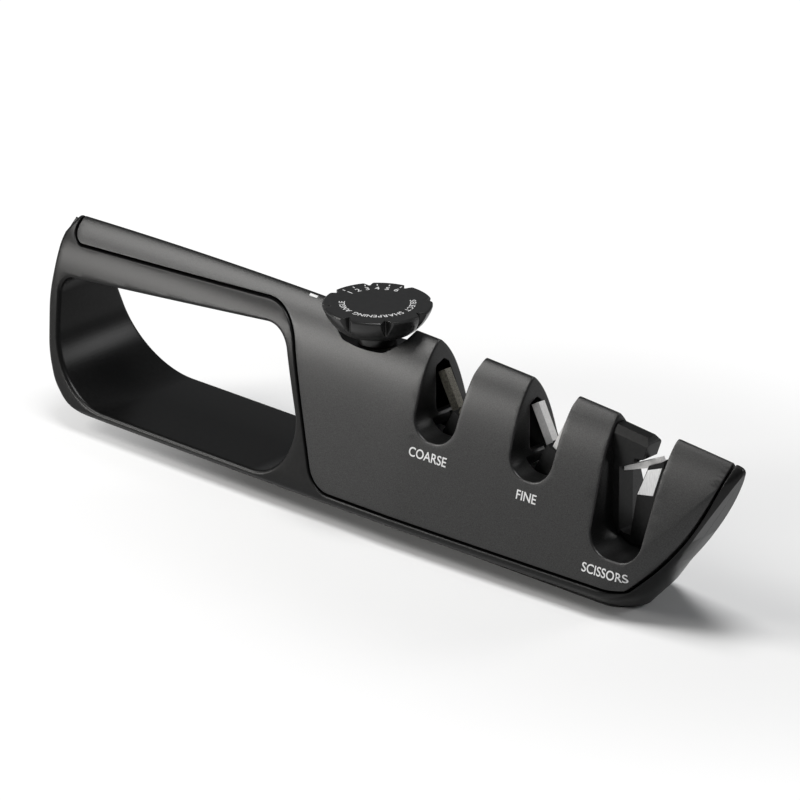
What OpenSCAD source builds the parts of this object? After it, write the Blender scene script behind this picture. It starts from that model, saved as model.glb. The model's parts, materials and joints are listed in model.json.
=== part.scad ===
// Pull through knife sharpener with an angle dial.
// X runs from the handle to the nose, Y across, Z up. The origin is on the
// table, at the middle of the length and on the centre plane.

/* [Body] */
// Length over all
body_l = 244.8; // [236:0.4:256]
// Width over the rim
rim_w = 37.2; // [36:0.2:40]
// Height of the ridge above the table
ridge_h = 56.4; // [55:0.2:60]
// Width of the flat base
base_w = 15; // [14:0.5:17]
// Height of the widest line of the rim
rim_z = 6; // [5:0.2:6.4]
// Height of the seam between rim and cover
seam_z = 8.8; // [8.4:0.1:9.6]
// Thickness of the moulded walls
wall = 2; // [1.6:0.1:2.4]
// Visible gap between cover and frame
seam_gap = 0.7; // [0.4:0.1:0.8]
// Length of the raked nose, as a share of the length over all
nose_share = 0.1389; // [0.125:0.0001:0.145]

/* [Handle] */
// Length of the finger opening, as a share of the length over all
grip_l_share = 0.3783; // [0.362:0.0001:0.384]
// Height of the finger opening, as a share of the ridge height
grip_h_share = 0.697; // [0.64:0.001:0.706]
// Height of the rail below the finger opening
rail_h = 8; // [7.4:0.1:8.4]
// Thickness of the post behind the finger opening
post_t = 3.6; // [3:0.1:5]
// Thickness of the arch in front of the fingers
arch_t = 3.2; // [2.8:0.1:4]

/* [Slots] */
// Width of a knife slot
slot_w = 15.2; // [14.8:0.2:16]
// Depth of the knife slots, as a share of the ridge height
slot_share = 0.4255; // [0.41:0.0005:0.436]
// Width of the scissors slot
shears_w = 17.8; // [17:0.2:18.4]
// Depth of the scissors slot, as a share of the ridge height
shears_share = 0.6095; // [0.5855:0.0005:0.626]
// Place of the first knife slot from the middle, as a share of the length
coarse_share = 0.0915; // [0.09:0.0005:0.094]
// Distance from the first knife slot to the second, as a share of the length
pitch_share = 0.1373; // [0.1356:0.0001:0.1405]

/* [Stones] */
// Lean of a stone from upright at rest, in degrees
lean = 28; // [26:1:29]
// How far the dial tilts a stone, in degrees
swing = 10; // [8:1:10]
// Width of a stone along the body
stone_w = 2.8; // [2.4:0.1:3]
// Thickness of a stone
stone_t = 2.3; // [2:0.1:2.4]
// Length of a stone, as a share of the ridge height
stone_share = 0.39; // [0.372:0.001:0.397]

/* [Knob] */
// Diameter of the knob
knob_d = 30; // [28:0.5:31]
// Height of the knob
knob_h = 7; // [6.4:0.2:7.4]
// Turn of the knob over the whole scale, in degrees
dial_turn = 75; // [60:5:80]
// Diameter of the knob shaft
shaft_d = 4; // [3.6:0.1:4.4]

/* [Fits] */
// Radial clearance of a turning fit
turn_gap = 0.05; // [0.03:0.01:0.08]
// Clearance between pieces that pass each other
pass_gap = 0.3; // [0.25:0.05:0.35]

/* [Hidden] */
$fn = 48;
over = 1;                   // overrun of every cut

black = [0.09, 0.09, 0.1];
anthracite = [0.3, 0.3, 0.31];
steel = [0.72, 0.72, 0.74];

// Form of the body: the ridge is one long arc, and the flank is a rounded
// shoulder that runs out into a straight slope.
body_x0 = -body_l / 2;
nose_run = nose_share * body_l;
grip_l = grip_l_share * body_l;
grip_h = grip_h_share * ridge_h;
slot_deep = slot_share * ridge_h;
shears_deep = shears_share * ridge_h;
stone_l = stone_share * ridge_h;
slot_pitch = pitch_share * body_l;
coarse_x = coarse_share * body_l;
fine_x = coarse_x + slot_pitch;
shears_x = fine_x + 0.1291 * body_l;
ridge_bow = 0.2656;
crown_x = -0.204 * body_l;
shoulder_w = 0.306 * rim_w / 2;
shoulder_bend = 0.105 * ridge_h;
shoulder_taper = 0.0245;
taper_x = 0.05 * body_l;
apex_deep = 0.009 * ridge_h;
flank_slope = (rim_w / 2 - shoulder_w) / (ridge_h - rim_z);
nose_r = 0.27 * rim_w;
nose_min_r = 0.094 * rim_w;
tip_z = 0.86 * ridge_h;
stem_bow = 0.2;
stem_bulge = 0.04 * rim_w;
base_z = 0.8;               // level of the hull's flat underside, the pad is below it
roof = 0.6;                 // extra depth of the inner roof below the ridge

function ridge(x) = ridge_h * (1 - ridge_bow * pow((x - crown_x) / body_l, 2));
function shoulder(x) = shoulder_w - shoulder_taper * max(0, x - taper_x);
function spread(u, a) = a * (1 - exp(-u / shoulder_bend)) + flank_slope * u;
function half_w(x, z) = let (d = ridge(x) - z, a = shoulder(x))
    d <= 0 ? 0 : sqrt(pow(spread(d + apex_deep, a), 2) - pow(spread(apex_deep, a), 2));
function stem(z) = let (t = z / tip_z)
    body_l / 2 - nose_run * (1 - t * (1 + stem_bow * (1 - t)));
function bulge(z) = stem_bulge * sin(180 * max(0, min(1, (z / tip_z - 0.3) / 0.7)));

// Skin of the body, moved inwards by g, as one closed mesh of rings
rows = 9;
straight_steps = 9;
bow_steps = 6;
bow_end = 87;
function level(z0, top, j) = z0 + (top - z0) * (1 - pow((rows - j) / rows, 2.2));
function end_z(j, g) = let (
    z1 = level(rim_z, tip_z, j),
    z2 = level(rim_z, ridge(stem(z1)) - g, j)) level(rim_z, ridge(stem(z2)) - g, j);
function bow_r(x, z) = max(nose_min_r, min(nose_r, half_w(x, z)));
function ring_x(k, z, g) = let (xe = stem(z) + bulge(z) - g, c = bow_r(xe - nose_r, z))
    k <= straight_steps
        ? body_x0 - over + (xe - c - body_x0 + over) * k / straight_steps
        : xe - c * (1 - sin(bow_end * (k - straight_steps) / bow_steps));
function ring_fade(k) = k <= straight_steps ? 1 : cos(bow_end * (k - straight_steps) / bow_steps);
function drop(g) = g > 0 ? g + roof : 0;
function ring_y(k, x, z, g) = max(0.02 * nose_r, half_w(x, z) - 1.05 * g) * ring_fade(k);
function half_ring(k, z0, g) = [
    let (x = ring_x(k, z0, g)) [x, (base_w / 2 - g / 2) * ring_fade(k), z0],
    for (j = [0:rows]) let (
        x = ring_x(k, end_z(j, drop(g)), g),
        z = level(rim_z, ridge(x) - drop(g), j))
        [x, j == rows && g == 0 ? 0 : ring_y(k, x, z, g), z]];
module body_skin(z0, g) {
    halves = [for (k = [0:straight_steps + bow_steps]) half_ring(k, z0, g)];
    n = rows + 2;
    m = 2 * n;
    last = straight_steps + bow_steps;
    points = [for (h = halves)
        each concat(h, [for (j = [n - 1:-1:0]) [h[j][0], -h[j][1], h[j][2]]])];
    sides = [for (k = [0:last - 1]) for (j = [0:m - 1]) let (
        a = k * m + j, b = k * m + (j + 1) % m, c = a + m, d = b + m)
        each [[a, d, b], [a, c, d]]];
    polyhedron(points = points, faces = concat(sides,
        [[for (j = [0:m - 1]) j]],
        [for (j = [0:n - 2]) each [
            [last * m + j, last * m + m - 2 - j, last * m + j + 1],
            [last * m + j, last * m + m - 1 - j, last * m + m - 2 - j]]]));
}

// Outline with rounded corners: each corner is [x, z, radius]
arc_steps = 8;
function unit(v) = v / norm(v);
function wrap(a) = a > 180 ? a - 360 : (a < -180 ? a + 360 : a);
function corner(p, q, s) = let (
    b = [q[0], q[1]], u = unit([p[0], p[1]] - b), v = unit([s[0], s[1]] - b),
    h = acos(u * v) / 2, c = b + unit(u + v) * q[2] / sin(h),
    e = b + u * q[2] / tan(h) - c, f = b + v * q[2] / tan(h) - c,
    a0 = atan2(e[1], e[0]), turn = wrap(atan2(f[1], f[0]) - a0))
    q[2] == 0 ? [b] : [for (i = [0:arc_steps]) let (a = a0 + turn * i / arc_steps)
        c + q[2] * [cos(a), sin(a)]];
function rounded(pts) = let (n = len(pts))
    [for (i = [0:n - 1]) each corner(pts[(i + n - 1) % n], pts[i], pts[(i + 1) % n])];

// Extrusion of a side outline across the body, and of an outline in Y and Z
// along the body
module across(w) { rotate([90, 0, 0]) linear_extrude(w, center = true) children(); }
module along(x, l) { translate([x, 0, 0]) rotate([90, 0, 90]) linear_extrude(l) children(); }
module pin_y(x, z, d, w) { translate([x, 0, z]) rotate([90, 0, 0]) cylinder(h = w, d = d, center = true); }
span = 2 * rim_w;

// Finger opening, in shares of its own length and height
grip_x = body_x0 + post_t;
grip_shares = [[0, 0.81, 0.1], [0.89, 1, 0.23], [1.086, 0, 0.336], [0.064, 0, 0.56]];
grip = [for (s = grip_shares) [grip_x + s[0] * grip_l, rail_h + s[1] * grip_h, s[2] * grip_h]];

// Whole side outline: rounded back, underside, nose facet and cap
tail_shares = [[0.005, 0.979, 0.03], [-0.001, 0.87, 0.35], [0.003, 0.6, 0.7], [0.0205, 0.37, 0.5],
               [0.0445, 0.2, 0.25], [0.0915, 0.11, 0.14]];
tip_r = 0.03 * ridge_h;
facet_steps = 12;
side = concat(
    [for (i = [1:len(tail_shares) - 1]) let (s = tail_shares[i])
        [body_x0 + s[0] * body_l, s[1] * ridge_h, s[2] * ridge_h]],
    [[body_x0 + 0.12 * body_l, base_z, 0]],
    [for (i = [0:facet_steps]) let (z = base_z + (tip_z - tip_r - base_z) * i / facet_steps)
        [stem(z), z, 0]],
    [[body_l / 2 - tip_r / 4, ridge(body_l / 2), tip_r], [0, 1.06 * ridge_h, 0],
     [body_x0 + tail_shares[0][0] * body_l, ridge(body_x0), tip_r]]);

// Outline of the cover seen from the side
tongue_x = body_x0 + 1.2 * post_t;
tongue_deep = 0.125 * ridge_h;
arch_top = [grip[1][0] + 0.42 * arch_t, 0.948 * ridge_h, 0.25 * ridge_h];
arch_foot = [grip[2][0] + 0.77 * arch_t, seam_z, 0.16 * ridge_h];
cap_t = 1.7;
cap_mid = 0.58 * tip_z;
function nose_seam(z) = stem(z) - cap_t * (1 + 1.67 * pow((z - cap_mid) / (tip_z - cap_mid), 2));
cover_side = concat(
    [[tongue_x, 2 * ridge_h, 0], [tongue_x, ridge_h - tongue_deep, 0.07 * ridge_h], arch_top, arch_foot],
    [for (i = [0:facet_steps]) let (z = seam_z + (ridge_h - seam_z) * i / facet_steps)
        [nose_seam(z), z, 0]],
    [[nose_seam(ridge_h), 2 * ridge_h, 0]]);

// Slots: level floor, round corners, the nose side of a slot leans out
slot_r = 0.42 * slot_w;
slot_lean = 0.1 * slot_w;
function floor_z(x) = ridge(x) - slot_deep;
liner_t = 0.8 * wall;
shears_z = ridge(shears_x) - shears_deep;
knife_xs = [coarse_x, fine_x];
module slot_side(x, w, z, r, tilt) {
    polygon(rounded([[x - w / 2, 2 * ridge_h, 0], [x - w / 2, z, r], [x + w / 2 - tilt, z, r],
                     [x + w / 2, 0.9 * ridge_h, 0.1 * ridge_h],
                     [x + w / 2 + 4 * tilt, 1.3 * ridge_h, 0], [x + w / 2 + 4 * tilt, 2 * ridge_h, 0]]));
}
module knife_slot(x) { slot_side(x, slot_w, floor_z(x), slot_r, slot_lean); }
shears_tilt = 0.2 * shears_w;
module shears_slot() { slot_side(shears_x, shears_w, shears_z, 0.38 * shears_w, shears_tilt); }
module all_slots() {
    for (x = knife_xs) knife_slot(x);
    shears_slot();
}

// Knob and the bowl it sits in
knob_x = -0.0335 * body_l;
knob_z = ridge_h + 0.11 * knob_d - knob_h;
knob_neck = 4.4;            // height of the hub below the knob
knob_foot_r = 0.69 * knob_d / 2;
hub_r = 0.2 * knob_d;
bowl_z = knob_z - knob_neck;
bowl_r = 0.213 * knob_d;
bowl_t = wall;
bowl_rim_r = 0.533 * knob_d;
bowl_flare = [0.6 * bowl_rim_r, 0.75 * bowl_rim_r, 0.94 * bowl_rim_r];
bowl_rise = knob_h / 2.8;
module bowl_cut(g) {
    translate([knob_x, 0, 0]) rotate_extrude() polygon([
        [0, bowl_z - g], [bowl_r + g, bowl_z - g], [bowl_flare[0] + g, bowl_z + 0.24 * bowl_rise - g],
        [bowl_flare[1] + g, bowl_z + bowl_rise - g], [bowl_flare[2] + g, bowl_z + 2 * bowl_rise - g],
        [bowl_rim_r + g, bowl_z + 3 * bowl_rise - g], [bowl_rim_r + g, 2 * ridge_h], [0, 2 * ridge_h]]);
}

// Levels of the mechanism, from the base up
pivot_z = 0.4255 * ridge_h;
arm_l = 0.238 * slot_pitch; // from a pivot to its cam pin
pivot_dx = 0.131 * slot_pitch;
pin_d = 2;
cam_pin_d = 1.8;
crank_r = 3.2;
crank_pin_d = 2.4;
side_gap = 0.15;            // clearance of a pin in its slot, each side
chassis_z = 0.2216 * ridge_h;
chassis_t = 1.5;
chassis_w = 0.441 * rim_w;
chassis_wall = 1.2;
slider_t = 1.5;
slider_w = 0.36 * rim_w;
slider_wall = 1.4;
slider_z = chassis_z + chassis_t + pass_gap;
slider_top = pivot_z + 0.057 * ridge_h;
travel = 2 * crank_r * sin(dial_turn / 2);
chassis_top = pivot_z + 0.046 * ridge_h;
plane_gap = 0.2;            // from the centre plane to a carrier
carrier_w = 5;
carrier_back = 1.2;         // wall of a carrier behind its stone
carrier_t = stone_t + carrier_back;
carrier_l = 14.5;
hub_d = 5.2;
stone_z = 3.4;              // from the pivot to the foot of a stone
tower_x = coarse_x + slot_pitch / 2;
tower_d = 5;
screw_d = 2.2;
head_d = 4;
head_t = 1.4;
disc_r = 0.15 * rim_w;
disc_t = 2;
disc_z = slider_z + slider_t + pass_gap;
plate_t = 1.6;
bridge_z = chassis_top - plate_t;
bridge_l = 11;
slot_end = 2.5;             // web between the end of a piece and its last cut
slider_x0 = knob_x - crank_pin_d - 0.8 * slot_end;
slider_x1 = fine_x + pivot_dx + arm_l + slot_end;
chassis_x0 = knob_x - disc_r - slot_end;
chassis_x1 = slider_x1 + travel + pass_gap + chassis_wall;
plate_w = 0.707 * base_w;
well_w = 0.533 * base_w;
plate_x0 = body_x0 + 0.115 * body_l;
front_screw_x = shears_x - 0.146 * shears_w;
plate_x1 = front_screw_x - head_d - seam_gap;
frame_floor = base_z + 2 * plate_t;
screw_xs = [-0.32 * body_l, -0.18 * body_l, -0.014 * body_l, 0.2 * body_l];
rail_screw_l = 0.7 * rail_h;
thread_l = 7;               // how deep a cover screw reaches into its post

// Black moulding with the handle loop, the rim and the nose
module frame() color(black) difference() {
    union() {
        difference() {
            intersection() {
                body_skin(base_z, 0);
                across(span) polygon(rounded(side));
            }
            across(span) offset(delta = seam_gap) polygon(rounded(cover_side));
        }
        rim_lip();
    }
    across(span) polygon(rounded(grip));
    handle_channel();
    rim_well();
    base_rebate();
    frame_holes();
}
lip_h = 2;
well_x0 = arch_foot[0] + 2.4 * wall;
well_x1 = nose_seam(seam_z) - 3 * wall;
module rim_lip() intersection() {
    body_skin(base_z, wall + pass_gap);
    translate([well_x0 - wall, -rim_w, seam_z - 2 * wall])
        cube([well_x1 - well_x0 + wall, 2 * rim_w, lip_h + 2 * wall]);
}
module rim_well() intersection() {
    body_skin(base_z, 1.8 * wall + pass_gap);
    translate([well_x0, -rim_w, frame_floor]) cube([well_x1 - well_x0, 2 * rim_w, ridge_h]);
}
channel_w = 0.32 * rim_w / 2;
module handle_channel() across(channel_w) polygon([
    [grip_x + 0.07 * grip_l, grip[0][1] + 1.6 * wall], [grip_x + 0.8 * grip_l, grip[1][1] + wall],
    [grip_x + 0.8 * grip_l, 2 * ridge_h], [grip_x + 0.07 * grip_l, 2 * ridge_h]]);
module base_rebate() {
    translate([plate_x0, -plate_w / 2, 0]) cube([plate_x1 - plate_x0, plate_w, base_z + plate_t]);
    difference() {
        translate([plate_x0 + wall, -well_w / 2, 0])
            cube([well_x0 - plate_x0 - wall + over, well_w, rail_h - wall]);
        for (x = [screw_xs[0], screw_xs[1]]) translate([x, 0, base_z + plate_t])
            cylinder(h = rail_h, d = post_d);
    }
    for (x = [screw_xs[0], screw_xs[1]]) translate([x, 0, 0])
        cylinder(h = base_z + rail_screw_l + turn_gap, d = screw_d);
    translate([well_x0, -well_w / 2, 0]) cube([plate_x1 - wall - well_x0, well_w, frame_floor + over]);
}
module frame_holes() {
    translate([front_screw_x, 0, 0]) {
        cylinder(h = ridge_h / 2, d = screw_d + 4 * turn_gap);
        cylinder(h = base_z + head_t + pass_gap, d = head_d + pass_gap);
    }
}

// Anthracite cover with tongue, slot walls and knob bowl
post_d = 6;
module top_cover() color(anthracite) difference() {
    union() {
        difference() {
            cover_solid();
            intersection() {
                body_skin(base_z, wall);
                across(span) polygon([[tongue_x + 2 * wall, 0], [nose_seam(0) - 2 * wall, 0],
                    for (i = [0:facet_steps]) let (z = seam_z + (ridge_h - seam_z) * i / facet_steps)
                        [nose_seam(z) - 1.3 * wall, z],
                    [tongue_x + 2 * wall, ridge_h]]);
            }
        }
        intersection() {
            cover_solid();
            cover_ribs();
        }
    }
    across(span) all_slots();
    bowl_cut(0);
    for (x = knife_xs) windows(x);
    for (x = knife_xs) floor_hole(x);
    translate([knob_x, 0, 0]) cylinder(h = ridge_h, d = bush_d + 4 * turn_gap);
    cover_holes();
}
module cover_solid() intersection() {
    body_skin(base_z, 0);
    across(span) polygon(rounded(side));
    across(span) polygon(rounded(cover_side));
}
bush_t = 1.5;
bush_d = shaft_d + 2 * bush_t;
bush_h = 7;
hook_w = 0.75 * channel_w;
module cover_ribs() {
    across(span) offset(delta = liner_t) all_slots();
    bowl_cut(bowl_t);
    translate([knob_x, 0, bowl_z - bush_h]) cylinder(h = bush_h, d = bush_d + 2 * wall);
    translate([tower_x, 0, chassis_top + chassis_t])
        cylinder(h = ridge_h - chassis_top - chassis_t - wall, d = post_d);
    translate([front_screw_x, 0, frame_floor]) cylinder(h = shears_z - frame_floor, d = post_d);
    for (s = [0.12, 0.72]) translate([grip_x + s * grip_l, -hook_w / 2, grip[1][1] + 1.2 * wall])
        cube([2 * wall, hook_w, ridge_h - grip[1][1] - 2 * wall]);
}
module cover_holes() {
    translate([tower_x, 0, 0]) cylinder(h = chassis_top + chassis_t + thread_l + over, d = screw_d);
    translate([front_screw_x, 0, 0]) cylinder(h = frame_floor + thread_l, d = screw_d);
    translate([insert_screw_x, 0, 0]) cylinder(h = shears_z + 2 * wall, d = screw_d + 4 * turn_gap);
}

// Openings in the slot walls, on the rear half of the left wall and on the
// front half of the right one, with the outer edge parallel to the flank
edge_inset = 2.4;
window_y = 1.9;             // how far a window reaches past the centre plane
window_shares = [[-1, 0.84], [-1, 0.28], [0.55, 0.22], [1, 0.28], [1, 0.54], [1, 0.84]];
module windows(x) for (s = [1, -1]) translate([x, 0, 0]) rotate([0, 0, s > 0 ? 0 : 180])
    along(-slot_w / 2 - 2 * liner_t, 3 * liner_t) polygon([
        for (q = window_shares) let (z = ridge(x) - q[1] * slot_deep)
            [q[0] < 0 ? -window_y : q[0] * (half_w(x, z) - edge_inset), z]]);
floor_l = 13.4;
floor_w = 8.8;
module floor_hole(x) translate([x - floor_l / 2, -floor_w / 2, floor_z(x) - 2 * liner_t])
    cube([floor_l, floor_w, 5 * liner_t]);

// Plate that closes the underside, and the strip it stands on
module base_plate() color(black) difference() {
    translate([plate_x0 + pass_gap, -plate_w / 2 + pass_gap, base_z])
        cube([plate_x1 - plate_x0 - 2 * pass_gap, plate_w - 2 * pass_gap, plate_t - pass_gap / 4]);
    for (x = screw_xs) translate([x, 0, 0]) {
        cylinder(h = ridge_h, d = screw_d + 4 * turn_gap);
        cylinder(h = base_z + head_t / 2 + turn_gap, d = head_d + pass_gap);
    }
}
pad_w = 0.96 * base_w;
module base_pad() color([0.06, 0.06, 0.06]) linear_extrude(base_z) hull() {
    translate([plate_x0 + pad_w / 2 - wall, 0]) circle(d = pad_w);
    translate([stem(0) - 1.2 * pad_w / 2, 0]) circle(d = pad_w);
}

// One countersunk or pan head screw standing on its head
module screw(l) {
    cylinder(h = head_t / 2, d = head_d);
    cylinder(h = l, d = screw_d);
}
base_screw_l = 9;
module base_screws() color(steel) for (x = screw_xs) translate([x, 0, base_z + turn_gap])
    screw(x < well_x0 ? rail_screw_l : base_screw_l);
front_screw_z = base_z + head_t / 2;
module front_cover_screw() color(steel) translate([front_screw_x, 0, front_screw_z])
    screw(frame_floor + thread_l - front_screw_z - 1.5 * over);
module centre_cover_screw() color(steel) translate([tower_x, 0, chassis_z - head_t / 2])
    screw(chassis_top + thread_l - over - chassis_z);

module angle_knob() color(black) translate([knob_x, 0, knob_z]) difference() {
    union() {
        cylinder(h = knob_h - knob_bevel, r1 = knob_foot_r, r2 = knob_d / 2);
        translate([0, 0, knob_h - knob_bevel])
            cylinder(h = knob_bevel, r1 = knob_d / 2, r2 = knob_d / 2 - knob_bevel);
        translate([0, 0, bowl_z + pass_gap - knob_z]) cylinder(h = knob_z - bowl_z, r = hub_r);
    }
    for (i = [0:7]) rotate([0, 0, 45 * i + notch_turn]) notch();
    translate([0, 0, bowl_z - knob_z]) cylinder(h = knob_z - bowl_z + knob_grip, d = shaft_d);
}
knob_bevel = 0.5;
knob_grip = 4.5;            // how far the shaft is pressed into the knob
notch_turn = 7.5;
notch_w = 3.4;
notch_deep = 2.4;
module notch() translate([0, 0, -over]) linear_extrude(knob_h + 2 * over) polygon([
    [knob_d / 2 - notch_deep, -notch_w / 8], [knob_d / 2 - notch_deep, notch_w / 8],
    [knob_d / 2 + over, notch_w / 2 + over / 2], [knob_d / 2 + over, -notch_w / 2 - over / 2]]);

shaft_z = disc_z;
ring_t = 0.8;
ring_z = bowl_z - bush_h - 1.5 * ring_t;
ring_bite = 0.5;            // depth of the ring's groove in the shaft
module knob_shaft() color(steel) difference() {
    translate([knob_x, 0, shaft_z]) cylinder(h = knob_z + knob_grip - shaft_z, d = shaft_d);
    translate([knob_x, 0, ring_z]) difference() {
        cylinder(h = ring_t, d = 2 * shaft_d);
        translate([0, 0, -over]) cylinder(h = ring_t + 2 * over, d = shaft_d - 2 * ring_bite);
    }
}
module shaft_bush() color([0.75, 0.6, 0.3]) translate([knob_x, 0, bowl_z - bush_h]) difference() {
    cylinder(h = bush_h + turn_gap, d = bush_d + 4 * turn_gap);
    translate([0, 0, -over]) cylinder(h = bush_h + 2 * over, d = shaft_d + 2 * turn_gap);
}
module retaining_ring() color(steel) translate([knob_x, 0, ring_z]) difference() {
    cylinder(h = ring_t, d = bush_d);
    translate([0, 0, -over]) cylinder(h = ring_t + 2 * over, d = shaft_d - 2 * ring_bite);
    translate([0, -shaft_d / 3, -over]) cube([shaft_d, shaft_d / 1.5, ring_t + 2 * over]);
}

// Crank on the foot of the shaft: its pin moves the slider, and dimples in
// its rim hold the six settings
settings = 6;
crank_turn = -90 - dial_turn / 2;
crank_pin = [crank_r * cos(crank_turn), crank_r * sin(crank_turn)];
dimple_r = 0.7;
module crank_disc() color(steel) translate([knob_x, 0, disc_z]) difference() {
    union() {
        cylinder(h = disc_t, r = disc_r);
        cylinder(h = 2 * disc_t, d = bush_d);
        translate([crank_pin[0], crank_pin[1], -slider_t - pass_gap])
            cylinder(h = slider_t + pass_gap + over, d = crank_pin_d);
    }
    translate([0, 0, -over / 2]) cylinder(h = 3 * disc_t, d = shaft_d);
    for (i = [0:settings - 1]) rotate([0, 0, 90 - i * dial_turn / (settings - 1)])
        translate([disc_r, 0, -over]) cylinder(h = disc_t + 2 * over, r = dimple_r);
}
leaf_t = 0.4;
leaf_l = 12;
leaf_h = 2;
bump_gap = 0.1;
bump_r = dimple_r - bump_gap;
leaf_y = disc_r + dimple_r;
module detent_spring() color(steel) translate([knob_x, 0, disc_z]) {
    translate([-leaf_l / 2, leaf_y - leaf_t, 0]) cube([leaf_l, leaf_t, leaf_h]);
    translate([0, disc_r + 1.2 * bump_gap, 0]) cylinder(h = leaf_h, r = bump_r);
}

// Slider: a floor with a cross slot for the crank pin, and two walls with
// the inclined cam slots
cam_rise = 2 * arm_l * sin(swing / 2);
cam_tilt = atan(cam_rise / travel);
module slot_y(x0, x1, z, d) {
    pin_y(x0, z, d, span);
    pin_y(x1, z, d, span);
    translate([x0, -span / 2, z - d / 2]) cube([x1 - x0, span, d]);
}
function cam_x(x, s) = x + s * (pivot_dx + arm_l * cos(swing / 2));
module cam_slot(x) {
    d = cam_pin_d + 2 * side_gap;
    over_l = side_gap / 2;
    translate([x, 0, pivot_z + cam_rise / 2]) rotate([0, -cam_tilt, 0])
        slot_y(-travel / cos(cam_tilt) - over_l, over_l, 0, d);
}
module half_cut(s) translate([slider_x0 - over, s > 0 ? -span : 0, 0]) cube([body_l, span, ridge_h]);
module cam_slider() color([0.8, 0.8, 0.76]) difference() {
    union() {
        translate([slider_x0, -slider_w / 2, slider_z])
            cube([slider_x1 - slider_x0, slider_w, slider_t]);
        for (s = [1, -1]) translate([wall_x0, s * (slider_w - slider_wall) / 2 - slider_wall / 2, slider_z])
            cube([slider_x1 - wall_x0, slider_wall, slider_top - slider_z]);
    }
    for (x = knife_xs) for (s = [1, -1]) {
        difference() {
            cam_slot(cam_x(x, s));
            half_cut(s);
        }
        translate([x + s * pivot_dx, 0, 0])
            slot_y(-travel - pass_gap, pass_gap, pivot_z, pin_d + 2 * pass_gap);
    }
    translate([knob_x - crank_r * sin(dial_turn / 2), 0, 0]) yoke_slot();
    tower_slot();
}
wall_x0 = coarse_x - pivot_dx - arm_l - travel - 1.2 * slot_end;
module yoke_slot() {
    d = crank_pin_d + 2 * side_gap;
    for (y = [-crank_r, -crank_r * cos(dial_turn / 2)]) translate([0, y, 0]) cylinder(h = ridge_h, d = d);
    translate([-d / 2, -crank_r, 0]) cube([d, crank_r * (1 - cos(dial_turn / 2)), ridge_h]);
}
module tower_slot() {
    d = tower_d + 2 * pass_gap;
    for (x = [tower_x - travel, tower_x]) translate([x, 0, 0]) cylinder(h = pivot_z - hub_d / 2, d = d);
    translate([tower_x - travel, -d / 2, 0]) cube([travel, d, pivot_z - hub_d / 2]);
}

// Chassis: a tray with two walls that carry the pivot pins, a bridge that
// guides the shaft, and the screw towers
leg_l = 6;
module chassis() color([0.13, 0.13, 0.14]) difference() {
    union() {
        translate([chassis_x0, -chassis_w / 2, chassis_z])
            cube([chassis_x1 - chassis_x0, chassis_w, chassis_t]);
        for (y = [-chassis_w / 2, chassis_w / 2 - chassis_wall]) translate([chassis_x0, y, chassis_z])
            cube([chassis_x1 - chassis_x0, chassis_wall, chassis_top - chassis_z]);
        translate([knob_x - bridge_l / 2, -chassis_w / 2, bridge_z])
            cube([bridge_l, chassis_w, chassis_top - bridge_z]);
        translate([tower_x, 0, chassis_z]) cylinder(h = chassis_top + chassis_t - chassis_z, d = tower_d);
        for (x = [screw_xs[2], screw_xs[3]]) for (y = [-chassis_w / 2, well_w / 2])
            translate([x - leg_l / 2, y, frame_floor])
                cube([leg_l, (chassis_w - well_w) / 2, chassis_z - frame_floor + over / 2]);
        for (x = [screw_xs[2], screw_xs[3]])
            translate([x, 0, frame_floor]) cylinder(h = chassis_z - frame_floor + over / 2, d = post_d);
    }
    for (x = knife_xs) for (s = [1, -1]) pin_y(x + s * pivot_dx, pivot_z, pin_d, span);
    translate([knob_x, 0, bridge_z - over]) cylinder(h = ridge_h, d = shaft_d + 2 * turn_gap);
    for (x = [screw_xs[2], screw_xs[3]]) translate([x, 0, 0])
        cylinder(h = chassis_z - pass_gap, d = screw_d);
    translate([tower_x, 0, 0]) cylinder(h = ridge_h, d = screw_d + 4 * turn_gap);
    leaf_slots();
}
module leaf_slots() translate([knob_x, leaf_y - leaf_t - pass_gap / 2, disc_z - over])
    translate([-leaf_l / 2 - pass_gap, 0, 0])
        cube([leaf_l + 2 * pass_gap, leaf_t + pass_gap, leaf_h + 2 * over]);
module pivot_pins() color(steel) for (x = knife_xs) for (s = [1, -1])
    pin_y(x + s * pivot_dx, pivot_z, pin_d, chassis_w);

// A carrier swings about its pin and holds a stone that leans over the slot.
// s = 1 is the rear one, s = -1 the front one. Along is towards the stone's tip.
module posed(x, s) translate([x + s * pivot_dx, 0, pivot_z]) rotate([0, -s * lean, 0]) children();
module carrier(x, s) difference() {
    union() {
        beside(s, carrier_t) translate([x + s * pivot_dx, pivot_z]) difference() {
            union() {
                rotate(s * lean) translate([-carrier_w / 2, 0]) square([carrier_w, carrier_l]);
                rotate(s * swing / 2) translate([s > 0 ? 0 : -arm_l, -arm_h / 2]) square([arm_l, arm_h]);
                rotate(s * swing / 2) translate([s * arm_l, 0]) circle(d = arm_eye);
                circle(d = hub_d);
            }
            circle(d = pin_d + 2 * turn_gap);
        }
        translate([x + s * pivot_dx, 0, pivot_z]) rotate([0, -s * swing / 2, 0]) translate([s * arm_l, 0, 0])
            rotate([s > 0 ? -90 : 90, 0, 0]) translate([0, 0, plane_gap + carrier_t / 2])
                cylinder(h = slider_w / 2 - plane_gap - carrier_t / 2, d = cam_pin_d);
    }
    posed(x, s) translate([0, -s * over, 0]) slab(s, stone_t + over, stone_w, stone_z, carrier_l + over);
}
module beside(s, t) rotate([90, 0, 0]) translate([0, 0, s > 0 ? -plane_gap - t : plane_gap])
    linear_extrude(t) children();
module slab(s, t, w, z0, z1) translate([-w / 2, s > 0 ? plane_gap : -plane_gap - t, z0])
    cube([w, t, z1 - z0]);
arm_h = 2.6;
arm_eye = 3.2;
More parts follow.
